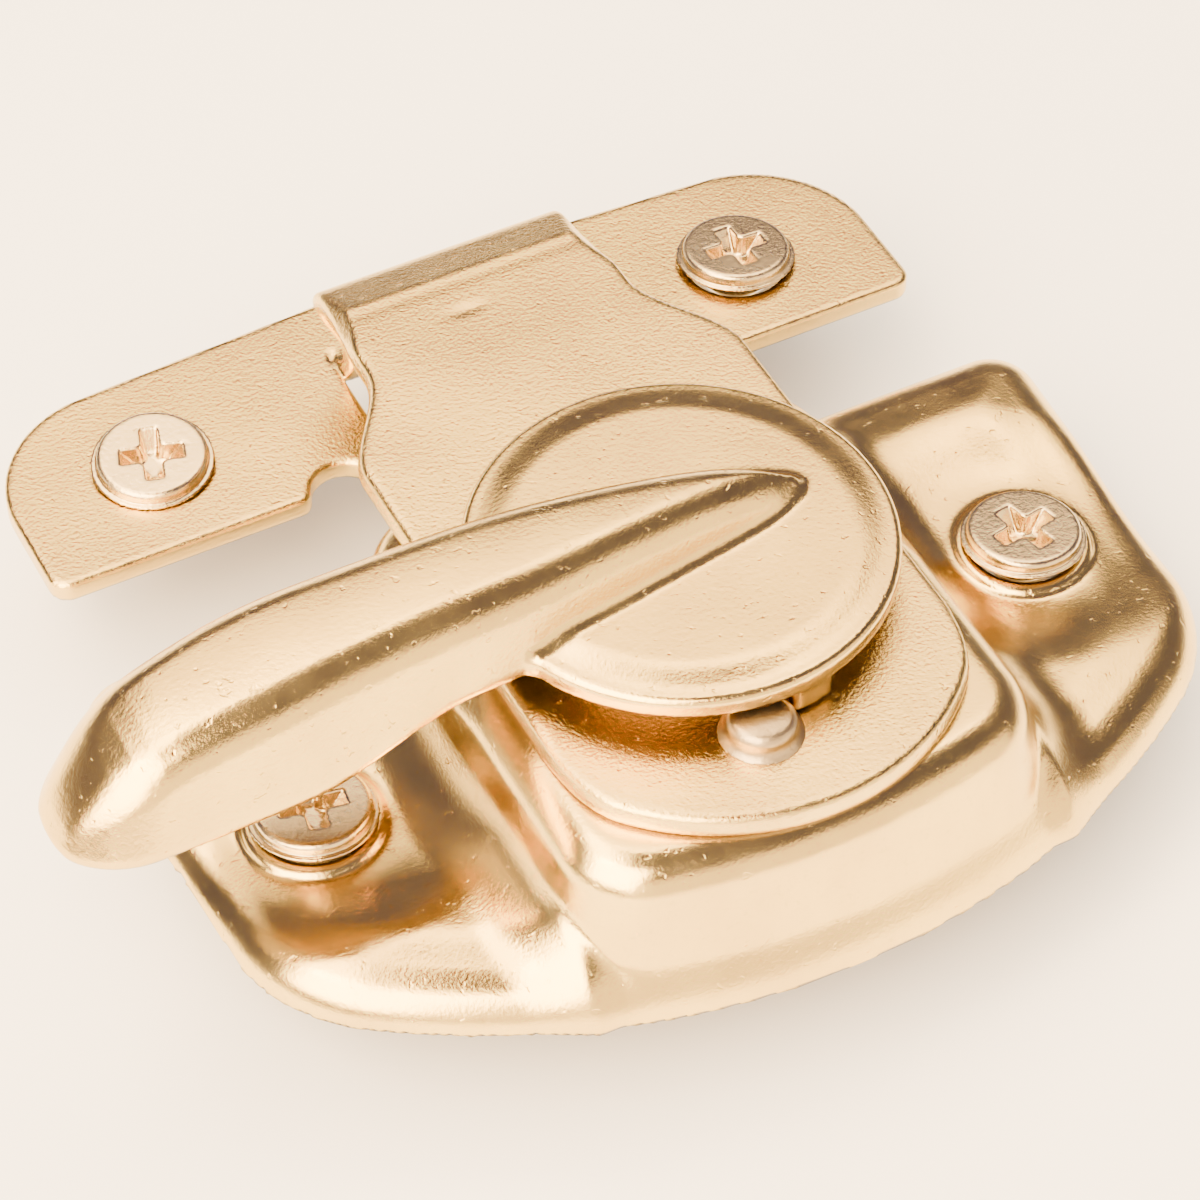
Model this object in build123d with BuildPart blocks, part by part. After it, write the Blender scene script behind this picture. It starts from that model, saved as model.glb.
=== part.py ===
from build123d import *

import os
from math import asin, cos, degrees, radians, sin, sqrt, tan

# Window sash lock in two halves, locked.  Millimetres.
# Origin: midway between the two base screws, on the mounting plane (z = 0).
# X runs along the sash rail, +Y points to the other sash, +Z is up and out of the rail.

# ---- driving dimensions -------------------------------------------------------------
base_sheet = 1.2            # drawn steel of the base
strip_sheet = 1.6           # pressed steel of the strip half
strip_top = strip_sheet

# D-shaped base
base_rear_y = 18.0
base_rear_half = 36.6       # half width at the straight rear edge
base_taper = 3.3            # degrees that each side leans in towards the front
base_side_run = 29.5        # length over which each side leans
base_arc_radius = 52.7
base_arc_centre_y = 28.0
rear_corner = 3.7
front_corner = 12.5
land_height = 3.4           # top of the two flat screw lands
rolled_edge = 3.0           # radius of the rolled outer edge

# raised block in the middle of the base
block_top = 10.5
block_foot_half = 18.6
block_top_half = 16.0
block_foot_rear_y = 17.2
block_top_rear_y = 15.6
block_front_arc = 49.4
block_foot_corner = 5.0
block_top_corner = 5.5
block_edge_round = 2.0
block_foot_step = 0.05      # the block's foot just overlaps the base's front arc

# screws
screw_pitch_base = 53.0     # between the two base screws
screw_pitch_strip = 46.0    # between the two strip screws
strip_screw_y = 34.4
screw_head_radius = 3.92
screw_head_wall = 1.35
screw_shank_radius = 2.0
screw_length = 12.0         # head top to point
screw_hole_radius = 2.3
screw_point_length = 2.6
screw_head_round = 0.3
seat_gap = 0.05             # between a screw's cone and its seat
recess_length = 4.4
recess_width = 1.05
recess_depth = 1.9
recess_draft = 12           # degrees

# dished seats of the base screws
dish_rim_radius = 7.6       # where the dish meets the flat land
dish_floor_radius = 4.9
dish_floor_z = 1.9
dish_under_radius = 8.1     # underside of the dish, below its rim
dish_under_z = 2.3
collar_radius = 4.75        # bead round the head
collar_top = 2.6
seat_under_radius = 5.3
seat_under = 0.65

# strip half: strip, fold and tongue plate
strip_half = 33.5
strip_front_y = 26.6
strip_rear_y = 44.4
strip_rear_end_y = 42.6     # rear edge just before the rounded ends
strip_rear_corner = 8.5
strip_front_corner = 1.4
fold_back_y = 37.0          # outer face of the upright wall
foot_bend = 2.6             # bend radii at the middle of the sheet
ridge_bend = 1.7
slope_bend = 2.0
ridge_crest_z = 10.55       # highest the middle of the sheet would reach over the wall
ridge_lean = 16.5           # degrees that the neck slopes down to the ridge
neck_half = 9.3             # at the ridge
neck_foot_half = 7.2        # where the neck leaves the strip
neck_shoulder_z = 8.5       # height where the neck widens
neck_slot = 0.3             # gap each side of the neck's foot
notch_radius = 2.3
notch_x = 12.0
plate_under = block_top
plate_top = plate_under + strip_sheet
plate_half = 14.2
plate_front_arc = 16.6
plate_front_y = -20.8
plate_corner = 3.5
flare_overlap = 1.0         # tongue plate into the folded neck
flare_start_y = 27.0
flare_end_y = 16.0

# lever
disc_radius = 14.1
disc_under = 14.4
disc_top = 16.4
disc_bevel = 0.7
boss_radius = 9.5           # boss under the disc that runs on the plate
rim_inset = 0.1             # stop pin centre and lugs, in from the disc's rim
running_gap = 0.05
arm_back = 45.5             # arm tip to pivot

# pivot, cam and stops
pivot_radius = 4.0
pivot_foot = 2.6            # half the square foot that drives the cam
pivot_foot_round = 0.6
washer_seat = 0.2           # shoulder between the square foot and the washer
pivot_top = 15.6            # inside the lever's socket
block_hole_radius = 7.2
cam_top = 9.0
cam_thickness = 1.8
cam_lobe_radius = 12.0
cam_lobe_width = 7.0
cam_hub_radius = 6.4
cam_corner = 1.5
cam_lead = 0.7              # lead-in chamfer on the lobe
cam_clearance = 0.6         # round the cam in the keyhole
cam_washer_thickness = 0.8
rivet_head_radius = 4.2
rivet_head_height = 1.0
rivet_head_round = 0.6
spring_inner = 4.3
spring_outer = 6.9
spring_sheet = 0.4
stop_pin_radius = 2.3
stop_pin_angle = -97.0      # degrees from +X about the pivot
stop_pin_top = 13.9
stop_pin_round = 0.3
stop_pin_shoulder = 0.8     # head wider than the riveted stem
lug_width = 3.0
lug_clearance = 0.2         # between a lug and the pin at the ends of travel
lug_setback = 0.4           # lugs stay inside the disc's rim
lug_gap = 0.3               # between a lug and the tongue plate
lever_travel = 180.0

os.makedirs("parts", exist_ok=True)


# ---- drawn base ---------------------------------------------------------------------
def arc_point_y(half, centre_y, radius):
    """Front crossing of a vertical line at x = half with a circle on the Y axis."""
    return centre_y - sqrt(radius**2 - half**2)


def base_form(inset):
    """Outer form of the base, or the hollow inside it when inset by the sheet."""
    rear = base_rear_y - inset
    arc = base_arc_radius - inset
    lean = tan(radians(base_taper))
    front_half = base_rear_half - inset - lean * base_side_run
    front_y = arc_point_y(front_half, base_arc_centre_y, arc)
    land = land_height - inset
    top = block_top - inset
    with BuildPart() as form:
        with BuildSketch() as plan:
            with BuildLine():
                Polyline(
                    (front_half, front_y),
                    (base_rear_half - inset, rear),
                    (-base_rear_half + inset, rear),
                    (-front_half, front_y),
                )
                ThreePointArc((-front_half, front_y), (0, base_arc_centre_y - arc), (front_half, front_y))
            make_face()
            fillet(plan.vertices().group_by(Axis.Y)[-1], radius=rear_corner - inset)
            fillet(plan.vertices().group_by(Axis.Y)[0], radius=front_corner - inset)
        extrude(amount=land)
        fillet(form.edges().group_by(Axis.Z)[-1], radius=rolled_edge - inset)

        foot_half = block_foot_half - inset
        foot_front = arc_point_y(foot_half, base_arc_centre_y, arc - block_foot_step)
        with BuildSketch() as foot:
            with BuildLine():
                Polyline(
                    (foot_half, foot_front),
                    (foot_half, block_foot_rear_y - inset),
                    (-foot_half, block_foot_rear_y - inset),
                    (-foot_half, foot_front),
                )
                ThreePointArc(
                    (-foot_half, foot_front),
                    (0, base_arc_centre_y - arc + block_foot_step),
                    (foot_half, foot_front),
                )
            make_face()
            fillet(foot.vertices(), radius=block_foot_corner - inset)

        top_half = block_top_half - inset
        top_front = arc_point_y(top_half, base_arc_centre_y, block_front_arc - inset)
        with BuildSketch(Plane.XY.offset(top)) as crown:
            with BuildLine():
                Polyline(
                    (top_half, top_front),
                    (top_half, block_top_rear_y - inset),
                    (-top_half, block_top_rear_y - inset),
                    (-top_half, top_front),
                )
                ThreePointArc(
                    (-top_half, top_front),
                    (0, base_arc_centre_y - block_front_arc + inset),
                    (top_half, top_front),
                )
            make_face()
            fillet(crown.vertices(), radius=block_top_corner - inset)
        loft(ruled=True)
        fillet(form.edges().group_by(Axis.Z)[-1], radius=block_edge_round - inset / 2)
    return form.part


seat_x = screw_pitch_base / 2
dish_slope = (dish_rim_radius - dish_floor_radius) / (land_height - dish_floor_z)
with BuildPart() as base_shell:
    add(base_form(0))
    add(base_form(base_sheet), mode=Mode.SUBTRACT)
    # each screw sits in a shallow dish with a raised collar round its head
    with Locations((-seat_x, 0, seat_under), (seat_x, 0, seat_under)):
        Cone(
            seat_under_radius,
            dish_under_radius,
            dish_under_z - seat_under,
            align=(Align.CENTER, Align.CENTER, Align.MIN),
        )
    with Locations((-seat_x, 0, dish_floor_z), (seat_x, 0, dish_floor_z)):
        Cone(
            dish_floor_radius,
            dish_rim_radius + dish_slope * base_sheet,
            land_height - dish_floor_z + base_sheet,
            align=(Align.CENTER, Align.CENTER, Align.MIN),
            mode=Mode.SUBTRACT,
        )
    with Locations((-seat_x, 0, seat_under), (seat_x, 0, seat_under)):
        Cylinder(
            collar_radius,
            collar_top - seat_under,
            align=(Align.CENTER, Align.CENTER, Align.MIN),
        )
    with Locations((-seat_x, 0, collar_top), (seat_x, 0, collar_top)):
        CounterSinkHole(screw_hole_radius, screw_head_radius + seat_gap, counter_sink_angle=90)
    # keyhole that the cam drops through: a round hole and a slot towards the front
    with BuildSketch(Plane.XY.offset(block_top)):
        Circle(block_hole_radius)
        slot_length = cam_lobe_radius + cam_clearance
        with Locations((0, -slot_length / 2)):
            Rectangle(cam_lobe_width + 2 * cam_clearance, slot_length)
    extrude(amount=-2 * base_sheet, mode=Mode.SUBTRACT)
base_shell.part.label = "base_shell"
export_step(base_shell.part, "parts/base_shell.step")


# ---- strip half: one pressed sheet, folded up and over the base ----------------------
def strip_outline():
    """Plan of the strip: right half, mirrored, with rounded ends."""
    with BuildSketch(Plane.XY) as outline:
        with BuildLine():
            Polyline(
                (0, strip_front_y),
                (strip_half, strip_front_y),
                (strip_half, strip_rear_end_y),
                (0, strip_rear_y),
            )
            mirror(about=Plane.YZ)
        make_face()
        ends = outline.vertices().filter_by(lambda v: abs(v.X) > strip_half - 0.1)
        fillet(ends.group_by(Axis.Y)[0], radius=strip_front_corner)
        ends = outline.vertices().filter_by(lambda v: abs(v.X) > strip_half - 0.1)
        fillet(ends.group_by(Axis.Y)[-1], radius=strip_rear_corner)
    return outline.sketch


with BuildPart() as bridge_plate:
    # fold: out of the strip, up, and forward over the base
    wall_y = fold_back_y - strip_sheet / 2
    neck_cut_y = wall_y + foot_bend
    with BuildSketch(Plane.YZ):
        with BuildLine():
            mid_low = strip_sheet / 2
            mid_high = plate_top - strip_sheet / 2
            foot_end = (wall_y, mid_low + foot_bend)
            lean = radians(ridge_lean)
            centre_y = wall_y - ridge_bend
            centre_z = ridge_crest_z - ridge_bend
            ridge_end = (centre_y + ridge_bend * sin(lean), centre_z + ridge_bend * cos(lean))
            slope_top_y = ridge_end[0] - (mid_high - ridge_end[1]) / tan(lean)
            ease = slope_bend * tan(lean / 2)
            slope_end = (slope_top_y + ease * cos(lean), mid_high - ease * sin(lean))
            flat_end = (slope_top_y - ease, mid_high)
            Line((neck_cut_y + strip_sheet, mid_low), (neck_cut_y, mid_low))
            TangentArc((neck_cut_y, mid_low), foot_end, tangent=(-1, 0))
            Line(foot_end, (wall_y, centre_z))
            TangentArc((wall_y, centre_z), ridge_end, tangent=(0, 1))
            Line(ridge_end, slope_end)
            TangentArc(slope_end, flat_end, tangent=(-cos(lean), sin(lean)))
            Line(flat_end, (flare_start_y, mid_high))
        trace(line_width=strip_sheet)
    extrude(amount=neck_half, both=True)
    # the neck is narrower where it was lanced out of the strip
    side_cut = neck_half - neck_foot_half
    with Locations(
        (-neck_half, neck_cut_y, 0),
        (neck_half, neck_cut_y, 0),
    ):
        Box(
            2 * side_cut,
            4 * foot_bend,
            neck_shoulder_z,
            align=(Align.CENTER, Align.CENTER, Align.MIN),
            mode=Mode.SUBTRACT,
        )
    # strip, with the opening the neck came from and a relief notch each side of it
    with BuildSketch():
        add(strip_outline())
        with Locations((0, strip_front_y)):
            Rectangle(
                2 * (neck_foot_half + neck_slot),
                2 * (neck_cut_y - strip_front_y),
                mode=Mode.SUBTRACT,
            )
        with Locations((-notch_x, strip_front_y), (notch_x, strip_front_y)):
            Circle(notch_radius, mode=Mode.SUBTRACT)
    extrude(amount=strip_sheet)
    # tongue plate with its flare and round front
    with BuildSketch(Plane.XY.offset(plate_under)) as tongue:
        with BuildLine():
            neck_y = flare_start_y + flare_overlap
            Line((0, neck_y), (neck_half, neck_y))
            Line((neck_half, neck_y), (neck_half, flare_start_y))
            Spline(
                (neck_half, flare_start_y),
                (plate_half, flare_end_y),
                tangents=((0, -1), (0, -1)),
            )
            front_centre_y = plate_front_y + plate_front_arc
            side_end_y = arc_point_y(plate_half, front_centre_y, plate_front_arc)
            Line((plate_half, flare_end_y), (plate_half, side_end_y))
            mirror(about=Plane.YZ)
            ThreePointArc((-plate_half, side_end_y), (0, plate_front_y), (plate_half, side_end_y))
        make_face()
        fillet(tongue.vertices().filter_by(lambda v: v.Y < 0), radius=plate_corner)
    extrude(amount=strip_sheet)
    with Locations((0, 0, plate_top)):
        Hole(pivot_radius + running_gap, depth=2 * strip_sheet)
    stop_pin_x = (disc_radius - rim_inset) * cos(radians(stop_pin_angle))
    stop_pin_y = (disc_radius - rim_inset) * sin(radians(stop_pin_angle))
    with Locations((stop_pin_x, stop_pin_y, plate_top)):
        Hole(stop_pin_radius - stop_pin_shoulder, depth=2 * strip_sheet)
    with Locations(
        (-screw_pitch_strip / 2, strip_screw_y, strip_top),
        (screw_pitch_strip / 2, strip_screw_y, strip_top),
    ):
        CounterSinkHole(screw_hole_radius, screw_head_radius + seat_gap, counter_sink_angle=90)
bridge_plate.part.label = "bridge_plate"
export_step(bridge_plate.part, "parts/bridge_plate.step")

# ---- stop pin: shouldered, riveted through the tongue plate ---------------------------
with BuildPart() as stop_pin:
    with Locations((stop_pin_x, stop_pin_y, plate_top)):
        Cylinder(
            stop_pin_radius,
            stop_pin_top - plate_top,
            align=(Align.CENTER, Align.CENTER, Align.MIN),
        )
        fillet(stop_pin.edges().group_by(Axis.Z)[-1], radius=stop_pin_round)
    with Locations((stop_pin_x, stop_pin_y, plate_top)):
        Cylinder(
            stop_pin_radius - stop_pin_shoulder,
            strip_sheet,
            align=(Align.CENTER, Align.CENTER, Align.MAX),
        )
stop_pin.part.label = "stop_pin"
export_step(stop_pin.part, "parts/stop_pin.step")


# ---- lever: cast disc and arm --------------------------------------------------------
def arm_section(x, middle, half_width, under, crest):
    """One rounded, roof-shaped cross-section of the arm."""
    height = crest - under
    shoulder = half_width * 0.62
    flank_z = under + height * 0.36
    shoulder_z = crest - height * 0.24
    sole = half_width * 0.72
    sole_z = under + height * 0.05
    with BuildSketch(Plane.YZ.offset(x)) as section:
        with BuildLine():
            Spline(
                (middle, crest),
                (middle + shoulder, shoulder_z),
                (middle + half_width, flank_z),
                (middle + sole, sole_z),
                (middle, under),
                (middle - sole, sole_z),
                (middle - half_width, flank_z),
                (middle - shoulder, shoulder_z),
                periodic=True,
            )
        make_face()
    return section.sketch


# distance from the pivot, offset of the middle, half width, underside and crest of each station
arm_stations = [
    (9.5, 0.0, 0.6, 15.6, 16.6),
    (5.5, 0.3, 2.8, 15.0, 18.4),
    (-3.0, 0.5, 4.6, 15.0, 20.0),
    (-13.0, 0.5, 5.0, 14.7, 20.5),
    (-19.0, 0.4, 5.3, 14.4, 20.5),
    (-26.0, 0.3, 6.0, 12.4, 20.3),
    (-37.0, -0.6, 5.9, 12.2, 19.3),
    (-43.0, -1.4, 4.9, 12.4, 17.6),
    (-arm_back, -1.8, 3.0, 13.2, 16.0),
]

lug_offset = stop_pin_radius + lug_width / 2 + lug_clearance
with BuildPart() as lever:
    with Locations((0, 0, disc_under)):
        Cylinder(
            disc_radius,
            disc_top - disc_under,
            align=(Align.CENTER, Align.CENTER, Align.MIN),
        )
    fillet(lever.edges().group_by(Axis.Z)[-1], radius=disc_bevel)
    for station in arm_stations:
        add(arm_section(*station))
    loft()
    with Locations((0, 0, plate_top + running_gap)):
        Cylinder(
            boss_radius,
            disc_under - plate_top,
            align=(Align.CENTER, Align.CENTER, Align.MIN),
        )
    # two stop lugs under the rim, one for each end of the travel
    lug_swing = degrees(asin(lug_offset / (disc_radius - rim_inset)))
    for lug_angle in (stop_pin_angle + lug_swing, stop_pin_angle - lug_swing - lever_travel):
        lug_centre = (boss_radius + disc_radius) / 2 - lug_setback
        with Locations(
            Location(
                (
                    lug_centre * cos(radians(lug_angle)),
                    lug_centre * sin(radians(lug_angle)),
                    plate_top + lug_gap,
                ),
                (0, 0, lug_angle),
            )
        ):
            Box(
                disc_radius - boss_radius,
                lug_width,
                disc_under - plate_top,
                align=(Align.CENTER, Align.CENTER, Align.MIN),
            )
    # blind socket for the pivot
    with Locations((0, 0, plate_top)):
        Cylinder(
            pivot_radius,
            pivot_top - plate_top,
            align=(Align.CENTER, Align.CENTER, Align.MIN),
            mode=Mode.SUBTRACT,
        )
lever.part.label = "lever"
export_step(lever.part, "parts/lever.step")

# ---- pivot, spring washer, cam and cam washer ----------------------------------------
cam_under = cam_top - cam_thickness
cam_washer_under = cam_under - cam_washer_thickness
with BuildPart() as pivot_rivet:
    with Locations((0, 0, cam_top)):
        Cylinder(
            pivot_radius,
            pivot_top - cam_top,
            align=(Align.CENTER, Align.CENTER, Align.MIN),
        )
    # squared foot that drives the cam
    with BuildSketch(Plane.XY.offset(cam_under)):
        RectangleRounded(2 * pivot_foot, 2 * pivot_foot, pivot_foot_round)
    extrude(amount=cam_thickness)
    with Locations((0, 0, cam_washer_under)):
        Cylinder(
            pivot_foot - washer_seat,
            cam_washer_thickness,
            align=(Align.CENTER, Align.CENTER, Align.MIN),
        )
    # head formed over the washer
    with Locations((0, 0, cam_washer_under)):
        Cylinder(
            rivet_head_radius,
            rivet_head_height,
            align=(Align.CENTER, Align.CENTER, Align.MAX),
        )
    fillet(pivot_rivet.edges().group_by(Axis.Z)[0], radius=rivet_head_round)
pivot_rivet.part.label = "pivot_rivet"
export_step(pivot_rivet.part, "parts/pivot_rivet.step")

with BuildPart() as cam:
    with BuildSketch(Plane.XY.offset(cam_under)) as cam_plan:
        Circle(cam_hub_radius)
        with Locations((0, cam_lobe_radius / 2)):
            Rectangle(cam_lobe_width, cam_lobe_radius)
        fillet(cam_plan.vertices().group_by(Axis.Y)[-1], radius=cam_corner)
        RectangleRounded(2 * pivot_foot, 2 * pivot_foot, pivot_foot_round, mode=Mode.SUBTRACT)
    extrude(amount=cam_thickness)
    # lead-in ramp on the lobe's upper edges
    lobe_edges = cam.edges().filter_by(Axis.Y).group_by(Axis.Z)[-1]
    chamfer([edge for edge in lobe_edges if edge.center().Y > cam_hub_radius], length=cam_lead)
cam.part.label = "cam"
export_step(cam.part, "parts/cam.step")

with BuildPart() as cam_washer:
    with BuildSketch(Plane.XY.offset(cam_washer_under)):
        Circle(cam_hub_radius - 1)
        Circle(pivot_foot - washer_seat, mode=Mode.SUBTRACT)
    extrude(amount=cam_washer_thickness)
cam_washer.part.label = "cam_washer"
export_step(cam_washer.part, "parts/cam_washer.step")

# dished ring between the cam and the tongue plate: holds the halves together without rattle
with BuildPart() as spring_washer:
    with BuildSketch(Plane.XZ):
        with BuildLine():
            Polyline(
                (spring_inner, cam_top + seat_gap / 2),
                (spring_inner + spring_sheet, cam_top + seat_gap / 2),
                (spring_outer, plate_under - spring_sheet),
                (spring_outer, plate_under - seat_gap / 2),
                (spring_outer - spring_sheet, plate_under - seat_gap / 2),
                (spring_inner, cam_top + spring_sheet),
                close=True,
            )
        make_face()
    revolve(axis=Axis.Z)
spring_washer.part.label = "spring_washer"
export_step(spring_washer.part, "parts/spring_washer.step")


# ---- screws --------------------------------------------------------------------------
def wood_screw(x, y, head_top):
    """Cross-recessed wood screw standing on its point below head_top."""
    wall_under = head_top - screw_head_wall
    cone_under = wall_under - (screw_head_radius - screw_shank_radius)
    point = head_top - screw_length
    with BuildPart() as screw:
        with BuildSketch(Plane.XZ):
            with BuildLine():
                Polyline(
                    (0, head_top),
                    (screw_head_radius, head_top),
                    (screw_head_radius, wall_under),
                    (screw_shank_radius, cone_under),
                    (screw_shank_radius, point + screw_point_length),
                    (0, point),
                    close=True,
                )
            make_face()
        revolve(axis=Axis.Z)
        rims = screw.edges().filter_by(GeomType.CIRCLE).group_by(Axis.Z)[-1]
        fillet(rims, radius=screw_head_round)
        # cross recess, narrowing as it goes down
        with BuildSketch(Plane.XY.offset(head_top)):
            Rectangle(recess_length, recess_width)
            Rectangle(recess_width, recess_length)
        extrude(amount=-recess_depth, taper=recess_draft, mode=Mode.SUBTRACT)
    return screw.part.moved(Location((x, y, 0)))


base_head_top = collar_top + screw_head_wall
strip_head_top = strip_top + screw_head_wall
for name, x, y, head_top in (
    ("base_screw_left", -screw_pitch_base / 2, 0, base_head_top),
    ("base_screw_right", screw_pitch_base / 2, 0, base_head_top),
    ("strip_screw_left", -screw_pitch_strip / 2, strip_screw_y, strip_head_top),
    ("strip_screw_right", screw_pitch_strip / 2, strip_screw_y, strip_head_top),
):
    fastener = wood_screw(x, y, head_top)
    fastener.label = name
    export_step(fastener, f"parts/{name}.step")
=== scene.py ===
import bpy
import numpy as np
from mathutils import Matrix, Vector


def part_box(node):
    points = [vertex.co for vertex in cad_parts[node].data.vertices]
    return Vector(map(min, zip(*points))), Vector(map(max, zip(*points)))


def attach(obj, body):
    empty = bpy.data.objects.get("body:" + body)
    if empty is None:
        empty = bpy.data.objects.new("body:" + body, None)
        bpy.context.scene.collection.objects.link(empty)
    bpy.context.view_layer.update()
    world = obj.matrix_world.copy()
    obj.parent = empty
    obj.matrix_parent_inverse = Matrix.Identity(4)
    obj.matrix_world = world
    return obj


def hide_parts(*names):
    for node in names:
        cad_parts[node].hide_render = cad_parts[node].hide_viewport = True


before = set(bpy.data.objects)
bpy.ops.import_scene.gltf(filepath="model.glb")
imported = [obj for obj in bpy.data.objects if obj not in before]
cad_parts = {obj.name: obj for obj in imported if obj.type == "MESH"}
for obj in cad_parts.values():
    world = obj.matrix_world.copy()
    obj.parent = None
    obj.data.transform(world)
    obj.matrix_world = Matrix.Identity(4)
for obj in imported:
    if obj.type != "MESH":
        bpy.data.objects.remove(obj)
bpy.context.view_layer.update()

# Window sash lock.  Lengths below are millimetres in the CAD frame: origin midway between
# the base screws on the mounting plane, X along the rail, Y towards the strip, Z up.
MM = 0.001


def corners(node):
    """Lowest and highest corner of a CAD node, in millimetres."""
    low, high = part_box(node)
    return np.array(low) / MM, np.array(high) / MM


base_low, base_high = corners("base_shell")
plate_low, plate_high = corners("bridge_plate")
lever_low, lever_high = corners("lever")
pin_low, pin_high = corners("stop_pin")

# ---- driving dimensions --------------------------------------------------------------
sharp_slope = np.sqrt(0.5)  # keeps a 45 degree cone's field true to distance
base_sheet = 1.2
base_rear_y = base_high[1]
base_rear_half = 36.6
base_lean = np.tan(np.radians(3.3))
base_arc_centre = 28.0
base_arc = base_arc_centre - base_low[1]
land_height = 3.4
rolled_edge = 3.3
edge_sag = 0.55             # the land falls a little before its rolled edge
sag_width = 6.5
dish_depth = 1.3            # the land is dished round each base screw
dish_rim = 12.5
dish_floor = 4.9
collar_radius = 4.75        # bead round each screw head
collar_top = 2.6
collar_edge = 0.55
collar_fillet = 0.35
collar_foot = 0.65          # underside of the bead
seat_radius = 4.0           # countersink at the seat's top
screw_hole_radius = 2.3
base_corners = (3.7, 12.5)  # rear and front rounds of the base's outline
block_corners = (5.0, 5.5)
keyhole_radius = 7.2
keyhole_slot_half = 4.1
keyhole_slot_end = -12.6
keyhole_floor = 8.0
block_top = base_high[2]
block_half = 16.0
block_rear_y = 15.6
block_arc = 49.4
block_draft = np.radians(14.5)
block_edge = 2.2
block_foot = (1.4, 2.6)     # fillet at the front, and what is added to it at the sides

strip_sheet = 1.6
strip_half = plate_high[0]
strip_front_y = 26.6
strip_end_round = 8.5
strip_shortest_rear = 42.6
strip_rear_y = plate_high[1]
plate_top = plate_high[2]
plate_front_y = plate_low[1]
plate_half = 14.2
plate_arc = 16.6
neck_half = 9.3
neck_front_half = 10.0
neck_foot_half = 7.2
neck_flare = (26.5, 17.5)   # y where the neck starts and ends widening into the plate
torn_band = 0.14            # the lower part of a sheared edge stands out this much
strip_edge = 0.28
tongue_edge = 0.45
ridge_bend = 1.7
ridge_start_y = 32.2        # the plate slopes down from here to the ridge
ridge_end_z = 10.55
foot_bend = 2.6
fold_wall_y = 36.2          # middle of the upright wall's sheet
foot_bend_y = fold_wall_y + foot_bend
notch_x = 12.0
notch_radius = 2.3
dent_x = -1.3               # small press mark on the neck
dent_y = 28.6
dent_depth = 0.12
dent_reach = (1.3, 0.4)

disc_radius = lever_high[0]
disc_under = 14.4
disc_top = 16.4
shoulder_inner = 10.9       # the disc's face eases down to a low rim
shoulder_outer = 13.5
shoulder_drop = 0.46
disc_edge = 0.55
disc_under_edge = 0.3
boss_radius = 9.5
socket_top = 15.6           # the rivet's socket ends inside the disc
arm_end = lever_low[0]
arm_datum = 12.4            # height at which the arm's plan is measured
arm_step = 2.0              # the arm's underside steps up this much near the disc
arm_step_run = (-16.6, -29.0)
arm_nose = 9.0              # x where the arm's ridge ends on the disc
arm_edge = 1.7
arm_under_edge = 0.9
arm_end_edge = 3.0
arm_end_bulge = 0.06        # curvature of the tip seen from above
arm_top_bulge = 0.018       # curvature of the top across the arm
arm_fillet = 0.7
pivot_radius = 4.0
pivot_play = 0.05
stop_pin_angle = np.radians(-97.0)
stop_pin_radius = (pin_high[0] - pin_low[0]) / 2
lug_width = 3.0
lug_fillet = 0.4
boss_fillet = 0.5

head_radius = 3.92          # wood screw
head_depth = 1.35
thread_pitch = 1.55
thread_height = 0.55
core_radius = 1.45
screw_length = 12.0
recess_half = 2.3
recess_wing_half = 0.62
recess_depth = 1.5
stem_inset = 0.8            # the stop pin's stem is thinner than its head
pin_skirt = 0.5             # the pin's foot flares out this much
pin_skirt_height = 0.8
pin_dome = 0.05
pin_edge = 0.6

# the base's two screws, then the strip's: node, x, y and top of the head
screw_spots = []
for screw_node in ("base_screw_left", "base_screw_right", "strip_screw_left", "strip_screw_right"):
    low, high = corners(screw_node)
    screw_spots.append((screw_node, (low[0] + high[0]) / 2, (low[1] + high[1]) / 2, high[2]))
pin_x, pin_y = (pin_low[0] + pin_high[0]) / 2, (pin_low[1] + pin_high[1]) / 2


# ---- distance fields -----------------------------------------------------------------
def convex(a, b, radius):
    """Intersection of two fields with a round edge."""
    over = np.hypot(np.maximum(a + radius, 0), np.maximum(b + radius, 0))
    return over + np.minimum(np.maximum(a, b) + radius, 0) - radius


def concave(a, b, radius):
    """Union of two fields with a fillet in the corner."""
    under = np.hypot(np.maximum(radius - a, 0), np.maximum(radius - b, 0))
    return np.maximum(np.minimum(a, b), radius) - under


def ease(value, start, end):
    """Smooth step from 0 at start to 1 at end."""
    t = np.clip((value - start) / (end - start), 0, 1)
    return t * t * (3 - 2 * t)


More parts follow.
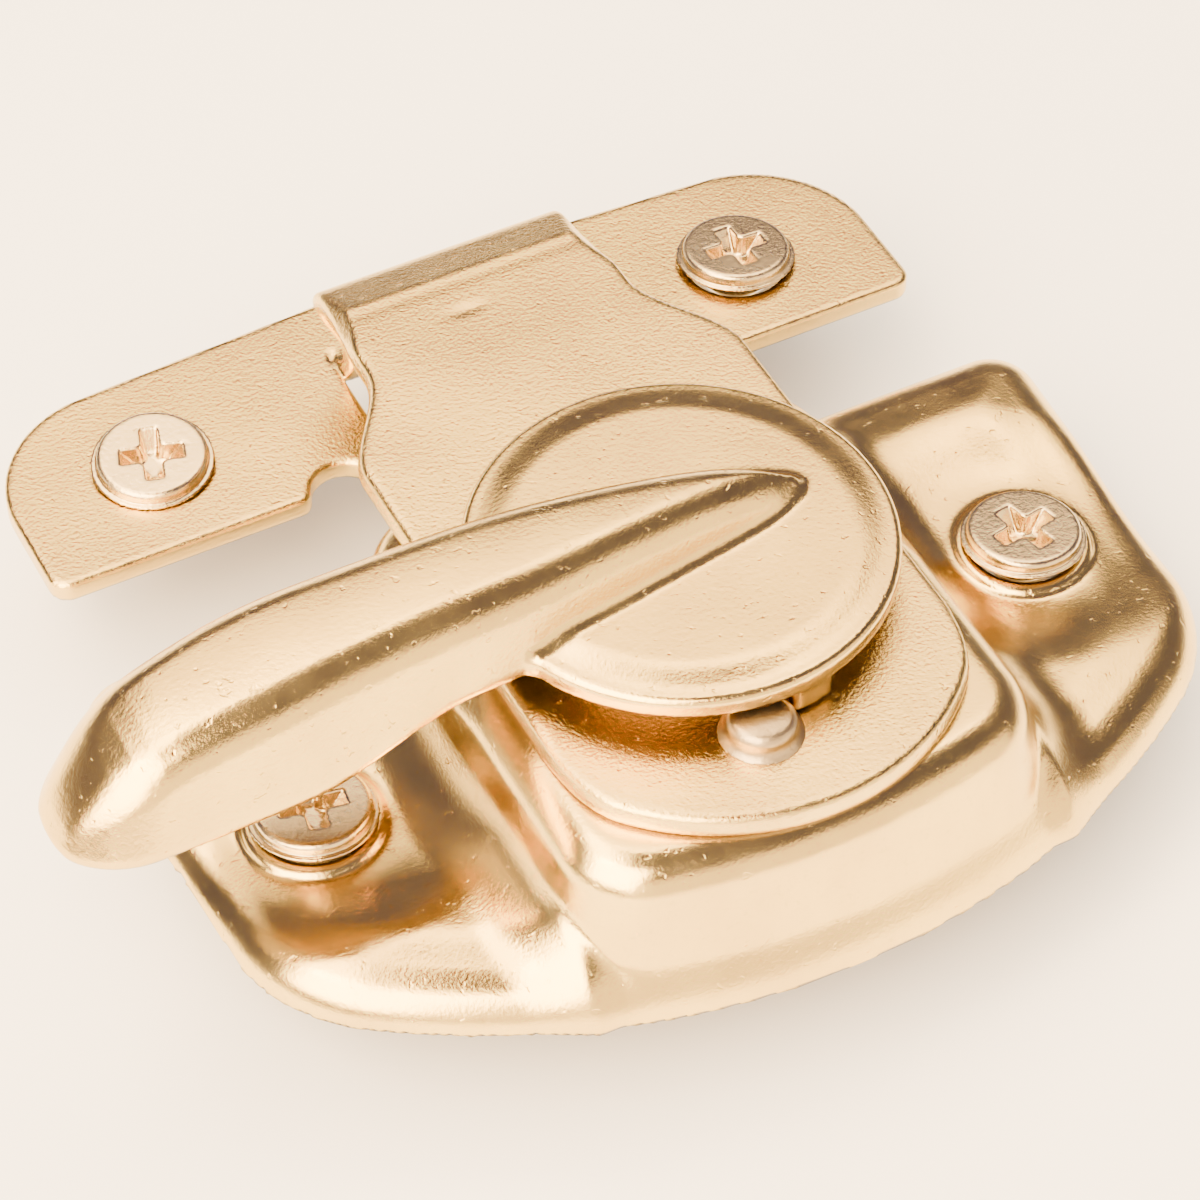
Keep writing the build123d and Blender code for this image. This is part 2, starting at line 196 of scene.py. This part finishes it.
def shield_plan(x, y, half, lean, rear, arc, rear_corner, front_corner):
    """Exact plan distance to a shield: straight rear, leaning sides, arc front, round corners."""
    x = np.abs(x)
    side_normal = np.array([1.0, -lean]) / np.hypot(1, lean)
    side = (x - half) * side_normal[0] + (y - rear) * side_normal[1]
    arc_field = np.hypot(x, y - base_arc_centre) - arc
    field = np.maximum(np.maximum(side, y - rear), arc_field)
    # rear corner: centre of its round
    centre_y = rear - rear_corner
    centre_x = half - (rear - centre_y) * lean - rear_corner / side_normal[0]
    dx = x - centre_x
    dy = y - centre_y
    in_corner = (dx > 0) & (dy > dx * side_normal[1] / side_normal[0])
    field = np.where(in_corner, np.hypot(dx, dy) - rear_corner, field)
    # front corner: found where the inset side meets the inset arc
    inset = np.array([half, rear]) - side_normal * front_corner
    run = np.array([side_normal[1], -side_normal[0]])
    to_centre = inset - np.array([0.0, base_arc_centre])
    along = to_centre @ run
    reach = np.sqrt(along**2 - to_centre @ to_centre + (arc - front_corner) ** 2)
    centre = inset + run * (reach - along)
    arc_normal = (centre - np.array([0.0, base_arc_centre])) / (arc - front_corner)
    dx = x - centre[0]
    dy = y - centre[1]
    past_side = dx * side_normal[1] - dy * side_normal[0] > 0
    past_arc = dy * arc_normal[0] - dx * arc_normal[1] > 0
    in_corner = past_side & past_arc
    return np.where(in_corner, np.hypot(dx, dy) - front_corner, field)


def base_solid(x, y, z):
    """Outside of the drawn base, without its hollow."""
    plan = shield_plan(x, y, base_rear_half, base_lean, base_rear_y, base_arc, *base_corners)
    dish = 0.0
    for _, sx, sy, _ in screw_spots[:2]:
        dish = dish + dish_depth * ease(np.hypot(x - sx, y - sy), dish_rim, dish_floor)
    sag = edge_sag * ease(plan, -sag_width, -2.0)
    land = convex(plan, z - land_height + dish + sag, rolled_edge)
    block_plan = shield_plan(x, y, block_half, 0.0, block_rear_y, block_arc, *block_corners)
    spread = (block_top - z) * np.tan(block_draft)
    wall = (block_plan - spread) * np.cos(block_draft)
    block = convex(wall, z - block_top, block_edge)
    block = np.maximum(block, plan)
    return concave(land, block, block_foot[0] + block_foot[1] * ease(np.abs(x), 15.0, 17.5))


def base_field(x, y, z):
    """Drawn base: shell, screw seats and the keyhole for the cam."""
    outside = base_solid(x, y, z)
    shell = np.maximum(outside, -(outside + base_sheet))
    for _, sx, sy, _ in screw_spots[:2]:
        r = np.hypot(x - sx, y - sy)
        collar = convex(r - collar_radius, z - collar_top, collar_edge)
        collar = np.maximum(collar, collar_foot - z)
        shell = concave(shell, collar, collar_fillet)
        seat = ((r - seat_radius) - (z - collar_top)) * sharp_slope
        shell = convex(shell, -seat, 0.2)
        shell = np.maximum(shell, screw_hole_radius - r)
    keyhole = np.hypot(x, y) - keyhole_radius
    slot = np.maximum(np.abs(x) - keyhole_slot_half, np.maximum(y, keyhole_slot_end - y))
    keyhole = np.maximum(np.minimum(keyhole, slot), keyhole_floor - z)
    shell = convex(shell, -keyhole, 0.15)
    return np.maximum(shell, -z)


def strip_plan(x, y):
    """Plan of the strip: rounded ends, the cut the neck was lanced from, relief notches."""
    x = np.abs(x)
    taper = (strip_rear_y - strip_shortest_rear) / strip_half
    rear = (y - strip_rear_y + x * taper) / np.hypot(1, taper)
    ends = convex(x - strip_half, rear, strip_end_round)
    plan = convex(ends, strip_front_y - y, 1.4)
    cut = convex(x - neck_foot_half - 0.3, y - foot_bend_y - 0.3, 0.25)
    notch = np.hypot(x - notch_x, y - strip_front_y) - notch_radius
    return convex(plan, -np.minimum(cut, notch), 0.8)


def tongue_half(y):
    """Half width of the neck, flare and tongue plate."""
    neck = neck_half + (neck_front_half - neck_half) * ease(y, 35.0, 27.0)
    return neck + (plate_half - neck_front_half) * ease(y, *neck_flare)


def tongue_plan(x, y, z):
    """Plan of neck and tongue plate; the neck narrows towards its foot on the strip."""
    slope = (tongue_half(y + 0.05) - tongue_half(y - 0.05)) / 0.1
    narrow = (neck_half - neck_foot_half) * ease(z, 10.0, 3.5) * (y > 28)
    side = (np.abs(x) - tongue_half(y) + narrow) / np.hypot(1, slope)
    front = np.hypot(x, y - plate_front_y - plate_arc) - plate_arc
    front = np.where(y < plate_front_y + plate_arc, front, -plate_arc)
    return convex(side, front, 1.8)


def bend(centre, radius, start, end):
    """Points along an arc, angles in degrees."""
    angles = np.radians(np.linspace(start, end, 7))
    return [(centre[0] + radius * np.cos(a), centre[1] + radius * np.sin(a)) for a in angles]


# middle of the folded sheet in the YZ plane: tongue plate, sloping ridge, wall, strip
sheet_low = strip_sheet / 2
sheet_high = plate_top - strip_sheet / 2
fold_line = (
    [(20.0, sheet_high), (ridge_start_y - 1.6, sheet_high)]
    + [(ridge_start_y - 0.7, sheet_high - 0.05), (ridge_start_y, sheet_high)]
    + bend((fold_wall_y - ridge_bend, ridge_end_z - ridge_bend), ridge_bend, 70, 0)
    + bend((foot_bend_y, sheet_low + foot_bend), foot_bend, 180, 270)
    + [(strip_rear_y - 3, sheet_low)]
)


def fold_distance(y, z):
    """Distance to the middle line of the folded sheet."""
    nearest = np.where(y < 26, np.abs(z - sheet_high), 99)
    near_fold = y > 22
    fy, fz = y[near_fold], z[near_fold]
    best = np.full(fy.shape, 99.0)
    for (ay, az), (by, bz) in zip(fold_line, fold_line[1:]):
        dy, dz = by - ay, bz - az
        t = np.clip(((fy - ay) * dy + (fz - az) * dz) / (dy * dy + dz * dz), 0, 1)
        best = np.minimum(best, np.hypot(fy - ay - t * dy, fz - az - t * dz))
    nearest[near_fold] = np.minimum(nearest[near_fold], best)
    return nearest


def bridge_field(x, y, z):
    """Strip half: one pressed sheet."""
    slab = np.maximum(z - strip_sheet, -z)
    strip = convex(slab, strip_plan(x, y), strip_edge)
    sheet = fold_distance(y, z) - strip_sheet / 2
    # sheared edge: a clean upper band and a slightly wider torn band below it
    torn = torn_band * ease(plate_top - z, 0.55, 0.8)
    tongue = convex(sheet, tongue_plan(x, y, z) - torn, tongue_edge)
    whole = np.minimum(strip, tongue)
    for _, sx, sy, _ in screw_spots[2:]:
        r = np.hypot(x - sx, y - sy)
        seat = ((r - seat_radius) - (z - strip_sheet)) * sharp_slope
        whole = convex(whole, -seat, 0.15)
        whole = np.maximum(whole, screw_hole_radius - r)
    pivot_hole = np.maximum(np.hypot(x, y) - pivot_radius - pivot_play, keyhole_floor - z)
    pin_hole = np.hypot(x - pin_x, y - pin_y) - stop_pin_radius + stem_inset
    pin_hole = np.maximum(pin_hole, keyhole_floor - z)
    dent_place = ((x - dent_x) / dent_reach[0]) ** 2 + ((y - dent_y) / dent_reach[1]) ** 2
    dent = dent_depth * np.exp(-dent_place)
    return np.maximum(whole + dent * (z > 10), -np.minimum(pivot_hole, pin_hole))


def along_arm(x, stations):
    """Smooth value along X through (x, value) stations, listed from the tip to the nose."""
    places = np.array([place for place, _ in stations])
    values = np.array([value for _, value in stations])
    t = np.clip(np.interp(x, places, np.arange(len(places))), 0, len(places) - 1.0001)
    index = t.astype(int)
    return values[index] + (values[index + 1] - values[index]) * (t - index)


# the arm along X: its middle line, half its width at the datum and the height of its crest
arm_middle = [
    (-46, -2.2), (-40, -1.0), (-36, -0.5), (-29, 0.3), (-22, 0.5), (0, 0.6), (5, 0.5), (10, 0.0),
]
arm_foot = [
    (-46, 4.6), (-42, 5.6), (-39, 6.2), (-33, 6.9), (-28.5, 7.2), (-24, 7.0), (-19, 6.8),
    (-14, 6.7), (-10, 6.4), (-5, 5.7), (-1, 5.0), (3, 4.3), (6, 3.6), (8, 2.9), (9, 2.2),
    (10.5, 1.0),
]
arm_crest = [
    (-45, 14.5), (-42, 17.0), (-39, 18.6), (-35, 19.4), (-28, 20.1), (-16, 20.5),
    (-6, 20.3), (2, 19.6), (6, 18.8), (9, 17.6), (12, 16.0),
]
arm_lean = np.radians(20.0)
end_lean = np.radians(30.0)


def spread(values, reach):
    """Round off the corners of a station list by averaging neighbours a short reach apart."""
    return lambda x: sum(along_arm(x + reach * k, values) for k in (-1, -0.5, 0, 0.5, 1)) / 5


def arm_field(x, y, z):
    """Ridged arm: leaning sides, narrow domed top, underside stepped up near the disc."""
    middle = spread(arm_middle, 4.0)
    half = spread(arm_foot, 2.5)
    crest = spread(arm_crest, 3.0)
    slope = (half(x + 0.2) - half(x - 0.2)) / 0.4
    off = y - middle(x)
    side = (np.abs(off) - half(x)) / np.hypot(1, slope)
    side = side * np.cos(arm_lean) + (z - arm_datum) * np.sin(arm_lean)
    end = arm_end + 0.6 - x + arm_end_bulge * off**2
    end = end * np.cos(end_lean) + (z - arm_datum) * np.sin(end_lean)
    side = convex(convex(side, end, arm_end_edge), x - arm_nose, 0.8)
    top = z - crest(x) + arm_top_bulge * off**2
    under = disc_under - arm_step * ease(x, *arm_step_run) - z
    loaf = convex(side, top, arm_edge)
    return convex(loaf, under, arm_under_edge)


def lever_field(x, y, z):
    """Cast lever: disc, arm, boss and stop lugs."""
    r = np.hypot(x, y)
    face = z - disc_top + shoulder_drop * ease(r, shoulder_inner, shoulder_outer)
    disc = convex(r - disc_radius, face / 1.03, disc_edge)
    disc = convex(disc, disc_under - z, disc_under_edge)
    whole = concave(disc, arm_field(x, y, z), arm_fillet)
    boss = np.maximum(np.maximum(r - boss_radius, z - disc_top + 1), plate_top + 0.05 - z)
    whole = concave(whole, boss, boss_fillet)
    swing = np.arcsin((stop_pin_radius + lug_width / 2 + 0.2) / (disc_radius - 0.1))
    for angle in (stop_pin_angle + swing, stop_pin_angle - swing - np.pi):
        along = x * np.cos(angle) + y * np.sin(angle)
        across = np.abs(-x * np.sin(angle) + y * np.cos(angle))
        lug = convex(across - lug_width / 2, along - disc_radius + 0.3, 0.5)
        lug = np.maximum(np.maximum(lug, boss_radius - 1 - along), plate_top + 0.3 - z)
        lug = np.maximum(lug, z - disc_under - 0.5)
        whole = concave(whole, lug, lug_fillet)
    socket = np.maximum(r - pivot_radius, z - socket_top)
    return np.maximum(whole, -socket)


def screw_field(x, y, z):
    """Cross-recessed wood screw, head top at z = 0."""
    r = np.hypot(x, y)
    head = convex(r - head_radius, z, 0.45)
    head = convex(head, -head_depth - z, 0.15)
    cone = ((r - 3.85) - (z + head_depth)) * sharp_slope
    cone = np.maximum(cone, z + 0.8)
    turn = np.arctan2(y, x) / (2 * np.pi)
    phase = (z / thread_pitch - turn) % 1.0
    ridge = thread_height * np.clip(1 - np.abs(phase - 0.5) / 0.3, 0, 1) * ease(z, -3.6, -5.0)
    core = core_radius - 0.12 * (-z - 3) / 9
    taper = np.clip((z + screw_length) / 3.0, 0, 1)
    shank = (r - (core + ridge) * taper) * 0.75
    shank = convex(shank, z + 0.5, 0.05)
    whole = np.minimum(concave(head, cone, 0.05), shank)
    depth = np.clip(-z, 0, 2.2)
    ax, ay = np.abs(x), np.abs(y)
    reach = recess_half - 0.75 * depth
    wing = recess_wing_half - 0.12 * depth
    recess = concave(convex(ax - reach, ay - wing, 0.12), convex(ay - reach, ax - wing, 0.12), 0.5)
    recess = convex(recess, -recess_depth - z, 0.3)
    return convex(whole, -recess, 0.14)


def pin_field(x, y, z):
    """Stop pin: shouldered, slightly domed, head top at its CAD height."""
    r = np.hypot(x - pin_x, y - pin_y)
    skirt = pin_skirt * np.clip(1 - (z - plate_top) / pin_skirt_height, 0, 1) ** 2
    head = convex(r - stop_pin_radius - skirt, z - pin_high[2] + pin_dome * r**2, pin_edge)
    head = np.maximum(head, plate_top - z)
    stem = np.maximum(r - stop_pin_radius + stem_inset, z - plate_top - 0.2)
    stem = np.maximum(stem, pin_low[2] - z)
    return np.minimum(head, stem)


# ---- meshing -------------------------------------------------------------------------
def slope_of(field, points, reach=0.01):
    """Gradient of a field at the points, by central differences."""
    columns = []
    for axis in range(3):
        ahead, behind = points.copy(), points.copy()
        ahead[:, axis] += reach
        behind[:, axis] -= reach
        columns.append((field(*ahead.T) - field(*behind.T)) / (2 * reach))
    return np.stack(columns, 1)


def surface_net(field, low, high, step):
    """Closed quad mesh of a field's zero surface; every vertex is then moved onto it."""
    axes = [np.arange(a - 1.5 * step, b + 2.5 * step, step) for a, b in zip(low, high)]
    value = np.empty([len(a) for a in axes])
    grid_y, grid_z = np.meshgrid(axes[1], axes[2], indexing="ij")
    for i, here in enumerate(axes[0]):
        value[i] = field(np.full_like(grid_y, here), grid_y, grid_z)
    inside = value < 0
    shape = tuple(n - 1 for n in value.shape)
    total = np.zeros(shape + (3,))
    count = np.zeros(shape)
    quads = []
    for axis in range(3):
        others = [a for a in range(3) if a != axis]
        for first in (0, 1):
            for second in (0, 1):
                start = [slice(0, n) for n in shape]
                start[others[0]] = slice(first, first + shape[others[0]])
                start[others[1]] = slice(second, second + shape[others[1]])
                end = list(start)
                end[axis] = slice(1, 1 + shape[axis])
                a, b = value[tuple(start)], value[tuple(end)]
                crossed = inside[tuple(start)] != inside[tuple(end)]
                t = np.divide(a, a - b, out=np.zeros_like(a), where=crossed)
                offset = [0.0, 0.0, 0.0]
                offset[others[0]] = first
                offset[others[1]] = second
                for column in range(3):
                    part = t if column == axis else offset[column]
                    total[..., column] += np.where(crossed, part, 0)
                count += crossed
    live = count > 0
    number = np.full(shape, -1)
    number[live] = np.arange(live.sum())
    points = total[live] / count[live][:, None] + np.argwhere(live)
    points = points * step + np.array([a[0] for a in axes])
    for axis in range(3):
        one, two = [(axis + 1) % 3, (axis + 2) % 3]
        low_end = [slice(1, n) for n in shape]
        low_end[axis] = slice(0, shape[axis])
        high_end = list(low_end)
        high_end[axis] = slice(1, shape[axis] + 1)
        starts, ends = inside[tuple(low_end)], inside[tuple(high_end)]
        ring = []
        for back_one, back_two in ((1, 1), (0, 1), (0, 0), (1, 0)):
            pick = list(low_end)
            pick[one] = slice(1 - back_one, shape[one] - back_one)
            pick[two] = slice(1 - back_two, shape[two] - back_two)
            ring.append(number[tuple(pick)])
        ring = np.stack(ring, -1)
        quads.append(ring[starts & ~ends])
        quads.append(ring[~starts & ends][:, ::-1])
    quads = np.concatenate(quads)
    for _ in range(5):
        gradient = slope_of(field, points)
        length = np.maximum((gradient**2).sum(1), 0.05)
        move = -(field(*points.T) / length)[:, None] * gradient
        points += np.clip(move, -step, step)
    return points, quads


def add_piece(name, points, quads, material, body, nodes):
    """Smooth-shaded piece that rides on a body and stands in for CAD nodes."""
    mesh = bpy.data.meshes.new(name)
    mesh.from_pydata((points * MM).tolist(), [], quads.tolist())
    mesh.shade_smooth()
    mesh.materials.append(material)
    piece = bpy.data.objects.new(name, mesh)
    bpy.context.scene.collection.objects.link(piece)
    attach(piece, body)
    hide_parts(*nodes)


# ---- materials -----------------------------------------------------------------------
def noise(nodes, links, coordinate, scale, detail, rough=0.5):
    """Noise texture on object coordinates."""
    texture = nodes.new("ShaderNodeTexNoise")
    texture.inputs["Scale"].default_value = scale
    texture.inputs["Detail"].default_value = detail
    texture.inputs["Roughness"].default_value = rough
    links.new(coordinate, texture.inputs["Vector"])
    return texture.outputs["Fac"]


def ramp(nodes, links, value, stops):
    """Colour ramp over a value; stops are (position, colour)."""
    node = nodes.new("ShaderNodeValToRGB")
    elements = node.color_ramp.elements
    while len(elements) < len(stops):
        elements.new(0.5)
    for element, (position, colour) in zip(elements, stops):
        element.position = position
        element.color = (*colour, 1)
    links.new(value, node.inputs["Fac"])
    return node.outputs["Color"]


def grey(value):
    """One value as a colour."""
    return (value, value, value)


def plated(name, colour, dark, underside_shade, rough, grain_scale, grain_depth, pit_depth, stretch=(1, 1, 1)):
    """Satin plated metal: faint tarnish clouds, fine grain, small pits and handling marks.

    Noise scales are per metre, and grain and pit depths are metres.
    """
    material = bpy.data.materials.new(name)
    material.use_nodes = True
    nodes, links = material.node_tree.nodes, material.node_tree.links
    shader = nodes["Principled BSDF"]
    shader.inputs["Metallic"].default_value = 1.0
    coordinates = nodes.new("ShaderNodeTexCoord").outputs["Object"]
    mapping = nodes.new("ShaderNodeMapping")
    mapping.inputs["Scale"].default_value = stretch
    links.new(coordinates, mapping.inputs["Vector"])
    vector = mapping.outputs["Vector"]

    cloud_scale, speck_scale, smear_scale, pit_scale, wave_scale = 95, 2600, 230, 1400, 70
    clouds = noise(nodes, links, coordinates, cloud_scale, 6, 0.6)
    specks = noise(nodes, links, vector, speck_scale, 3, 0.7)
    tarnish = ramp(nodes, links, clouds, [(0.33, dark), (0.6, colour)])
    speckle = ramp(nodes, links, specks, [(0.28, grey(0.8)), (0.42, grey(1.0))])
    tint = nodes.new("ShaderNodeMix")
    tint.data_type = "RGBA"
    tint.blend_type = "MULTIPLY"
    tint.inputs["Factor"].default_value = 0.6
    links.new(tarnish, tint.inputs["A"])
    links.new(speckle, tint.inputs["B"])

    # painted shade: faces turned down get a darker colour, standing in for the shade beneath the parts
    facing = nodes.new("ShaderNodeSeparateXYZ")
    links.new(nodes["Texture Coordinate"].outputs["Normal"], facing.inputs["Vector"])
    turned = nodes.new("ShaderNodeMapRange")
    turned.inputs["From Min"].default_value = -0.2
    turned.inputs["From Max"].default_value = -0.7
    links.new(facing.outputs["Z"], turned.inputs["Value"])
    shade_mix = nodes.new("ShaderNodeMix")
    shade_mix.data_type = "RGBA"
    shade_mix.inputs["B"].default_value = (*underside_shade, 1)
    links.new(turned.outputs["Result"], shade_mix.inputs["Factor"])
    links.new(tint.outputs["Result"], shade_mix.inputs["A"])
    links.new(shade_mix.outputs["Result"], shader.inputs["Base Color"])

    smears = noise(nodes, links, coordinates, smear_scale, 5, 0.65)
    roughness = ramp(nodes, links, smears, [(0.3, grey(rough * 0.8)), (0.72, grey(rough * 1.25))])
    links.new(roughness, shader.inputs["Roughness"])

    grain = noise(nodes, links, vector, grain_scale, 4, 0.6)
    pits = noise(nodes, links, coordinates, pit_scale, 2, 0.5)
    pit_shape = ramp(nodes, links, pits, [(0.27, grey(0.0)), (0.34, grey(1.0))])
    waves = noise(nodes, links, coordinates, wave_scale, 1, 0.4)
    wave_depth = 0.0003
    layers = ((waves, 1.0, wave_depth), (grain, 0.5, grain_depth), (pit_shape, 0.5, pit_depth))
    normal = None
    for height, strength, depth in layers:
        bump = nodes.new("ShaderNodeBump")
        bump.inputs["Strength"].default_value = strength
        bump.inputs["Distance"].default_value = depth
        links.new(height, bump.inputs["Height"])
        if normal is not None:
            links.new(normal, bump.inputs["Normal"])
        normal = bump.outputs["Normal"]
    links.new(normal, shader.inputs["Normal"])
    return material


# base colours, linear RGB: bright, tarnished, and a darker one painted as shade on faces turned down
brass = (0.93, 0.66, 0.20)
brass_dark = (0.80, 0.55, 0.18)
brass_shade_painted = (0.24, 0.20, 0.15)
screw_bright = (0.86, 0.67, 0.34)
screw_dark = (0.72, 0.55, 0.28)
# the stop pin's darker brass is painted shade: it stands in for the shade and dark reflections the pin
# sits in beside the disc
pin_brass = (0.56, 0.43, 0.24)
pin_dark = (0.44, 0.33, 0.18)
steel = (0.62, 0.61, 0.58)
steel_dark = (0.5, 0.49, 0.47)
# the third steel colour is painted shade for faces turned down
steel_shade_painted = (0.3, 0.29, 0.28)
plating = (brass, brass_dark, brass_shade_painted)
drawn_brass = plated("drawn_brass", *plating, 0.20, 4000, 0.00004, 0.00003)
pressed_brass = plated("pressed_brass", *plating, 0.20, 3900, 0.00011, 0.00004)
cast_brass = plated("cast_brass", *plating, 0.21, 3400, 0.00005, 0.00004)
screw_brass = plated("screw_brass", screw_bright, screw_dark, brass_shade_painted, 0.24, 3000, 0.00007, 0.00002)
shaded_pin_brass = plated("shaded_pin_brass", pin_brass, pin_dark, brass_shade_painted, 0.33, 3200, 0.00008, 0.00003)
rolled = (1, 6, 1)          # rolling marks along Y
zinc_steel = plated(
    "zinc_steel", steel, steel_dark, steel_shade_painted, 0.34, 1600, 0.00004, 0.00004, rolled,
)

# ---- pieces --------------------------------------------------------------------------
HALVES = "lock_halves"
LEVER = "lever_and_cam"
margin = 0.6                # room round each CAD box for the meshing grid
smooth_pieces = [
    ("base_drawn_shell", base_field, base_low, base_high, 0.34, drawn_brass, HALVES, "base_shell"),
    ("strip_and_tongue", bridge_field, plate_low, plate_high, 0.3, pressed_brass, HALVES, "bridge_plate"),
    ("lever_casting", lever_field, lever_low, lever_high, 0.26, cast_brass, LEVER, "lever"),
    ("stop_pin_body", pin_field, pin_low, pin_high, 0.12, shaded_pin_brass, HALVES, "stop_pin"),
]
for name, field, low, high, step, material, body, node in smooth_pieces:
    points, quads = surface_net(field, low - margin, high + margin, step)
    add_piece(name, points, quads, material, body, [node])

screw_room = head_radius + 0.28
screw_low = np.array([-screw_room, -screw_room, -screw_length - 0.4])
screw_high = np.array([screw_room, screw_room, 0.4])
screw_points, screw_quads = surface_net(screw_field, screw_low, screw_high, 0.13)
# how far each screw was driven round, and how many degrees its head leans to the front
screw_settings = {
    "base_screw_left": (80.0, -4.5),
    "base_screw_right": (11.0, -5.0),
    "strip_screw_left": (73.0, 5.0),
    "strip_screw_right": (0.0, -5.5),
}
camera_yaw = 27.28          # degrees the camera is turned from looking along +Y
camera_azimuth = 180.0 + camera_yaw
front = np.radians(camera_azimuth)
hinge = Vector((-np.cos(front), np.sin(front), 0))
for node, sx, sy, top in screw_spots:
    turn, lean = screw_settings[node]
    turned = Matrix.Rotation(np.radians(turn), 4, "Z")
    leaned = Matrix.Rotation(np.radians(lean), 4, hinge)
    pose = np.array((leaned @ turned).to_3x3())
    placed = screw_points @ pose.T + np.array([sx, sy, top])
    add_piece(node + "_body", placed, screw_quads, screw_brass, HALVES, [node])

for node in ("pivot_rivet", "cam", "cam_washer", "spring_washer"):
    kept = bpy.data.objects[node]
    kept.data.materials.clear()
    kept.data.materials.append(zinc_steel)

# ---- floor ---------------------------------------------------------------------------
screw_tip = min(corners(spot[0])[0][2] for spot in screw_spots)
floor_z = (screw_tip - 0.1) * MM
floor_mesh = bpy.data.meshes.new("floor")
floor_reach = 8.0           # metres
floor_corners = [(-1, -1), (1, -1), (1, 1), (-1, 1)]
floor_mesh.from_pydata(
    [(floor_reach * i, floor_reach * j, floor_z) for i, j in floor_corners], [], [(0, 1, 2, 3)],
)
floor = bpy.data.objects.new("floor", floor_mesh)
bpy.context.scene.collection.objects.link(floor)
floor_material = bpy.data.materials.new("floor_paint")
floor_material.use_nodes = True
floor_shader = floor_material.node_tree.nodes["Principled BSDF"]
floor_shader.inputs["Base Color"].default_value = (0.93, 0.88, 0.80, 1)
floor_shader.inputs["Roughness"].default_value = 0.9
floor_mesh.materials.append(floor_material)


# ---- light ---------------------------------------------------------------------------
def panel(name, azimuth, elevation, distance, width, height, radiance, colour=(1, 1, 1)):
    """Soft light panel facing the lock; degrees and metres, azimuth 0 is +Y, clockwise."""
    data = bpy.data.lights.new(name, "AREA")
    data.shape = "RECTANGLE"
    data.size, data.size_y = width, height
    data.energy = radiance * np.pi * width * height
    data.color = colour
    lamp = bpy.data.objects.new(name, data)
    a, e = np.radians(azimuth), np.radians(elevation)
    spot = Vector((np.sin(a) * np.cos(e), np.cos(a) * np.cos(e), np.sin(e))) * distance
    lamp.location = spot
    lamp.rotation_euler = (-spot).to_track_quat("-Z", "Y").to_euler()
    bpy.context.scene.collection.objects.link(lamp)
    return lamp


world = bpy.data.worlds.new("studio")
bpy.context.scene.world = world
world.use_nodes = True
warm = (1.0, 0.74, 0.45)
world.node_tree.nodes["Background"].inputs["Color"].default_value = (0.55, 0.48, 0.85, 1)
world.node_tree.nodes["Background"].inputs["Strength"].default_value = 0.30
# name, degrees round from the camera, elevation, distance, width, height, radiance
panels = [
    ("far_low_panel", 180, 45.5, 0.9, 0.95, 0.13, 4.6),
    ("far_mid_panel", 180, 56.5, 0.9, 0.95, 0.22, 5.2),
    ("high_panel", 180, 67, 0.9, 0.8, 0.12, 14),
    ("near_left_panel", 34, 42, 0.8, 0.72, 0.76, 24),
    ("upper_left_panel", 95, 68, 0.8, 0.55, 0.34, 16),
    ("near_panel", -38, 20, 0.9, 2.4, 0.6, 3.0),
]
for name, around, elevation, distance, width, height, radiance in panels:
    panel(name, camera_azimuth + around, elevation, distance, width, height, radiance, warm)
ceiling = panel("ceiling_panel", 0, 90, 1.6, 5.0, 5.0, 1.9, (1.0, 1.0, 0.88))
ceiling.visible_glossy = False

# ---- camera --------------------------------------------------------------------------
yaw = np.radians(camera_yaw)
camera_tilt = np.radians(47.67)
camera_distance = 284.86
look_at = np.array([-0.49, 10.35, 0.0])
right = np.array([np.cos(yaw), -np.sin(yaw), 0.0])
ahead = np.array([np.sin(yaw), np.cos(yaw), 0.0])
forward = ahead * np.cos(camera_tilt) - np.array([0, 0, np.sin(camera_tilt)])
upward = ahead * np.sin(camera_tilt) + np.array([0, 0, np.cos(camera_tilt)])
place = (look_at - forward * camera_distance) * MM
camera_data = bpy.data.cameras.new("camera")
camera_data.lens = 125.83
camera_data.sensor_width = 36.0
camera_data.clip_start = 0.01
camera = bpy.data.objects.new("camera", camera_data)
frame_axes = np.stack([right, upward, -forward], 1)
camera.matrix_world = Matrix.Translation(place) @ Matrix(frame_axes.tolist()).to_4x4()
bpy.context.scene.collection.objects.link(camera)
bpy.context.scene.camera = camera

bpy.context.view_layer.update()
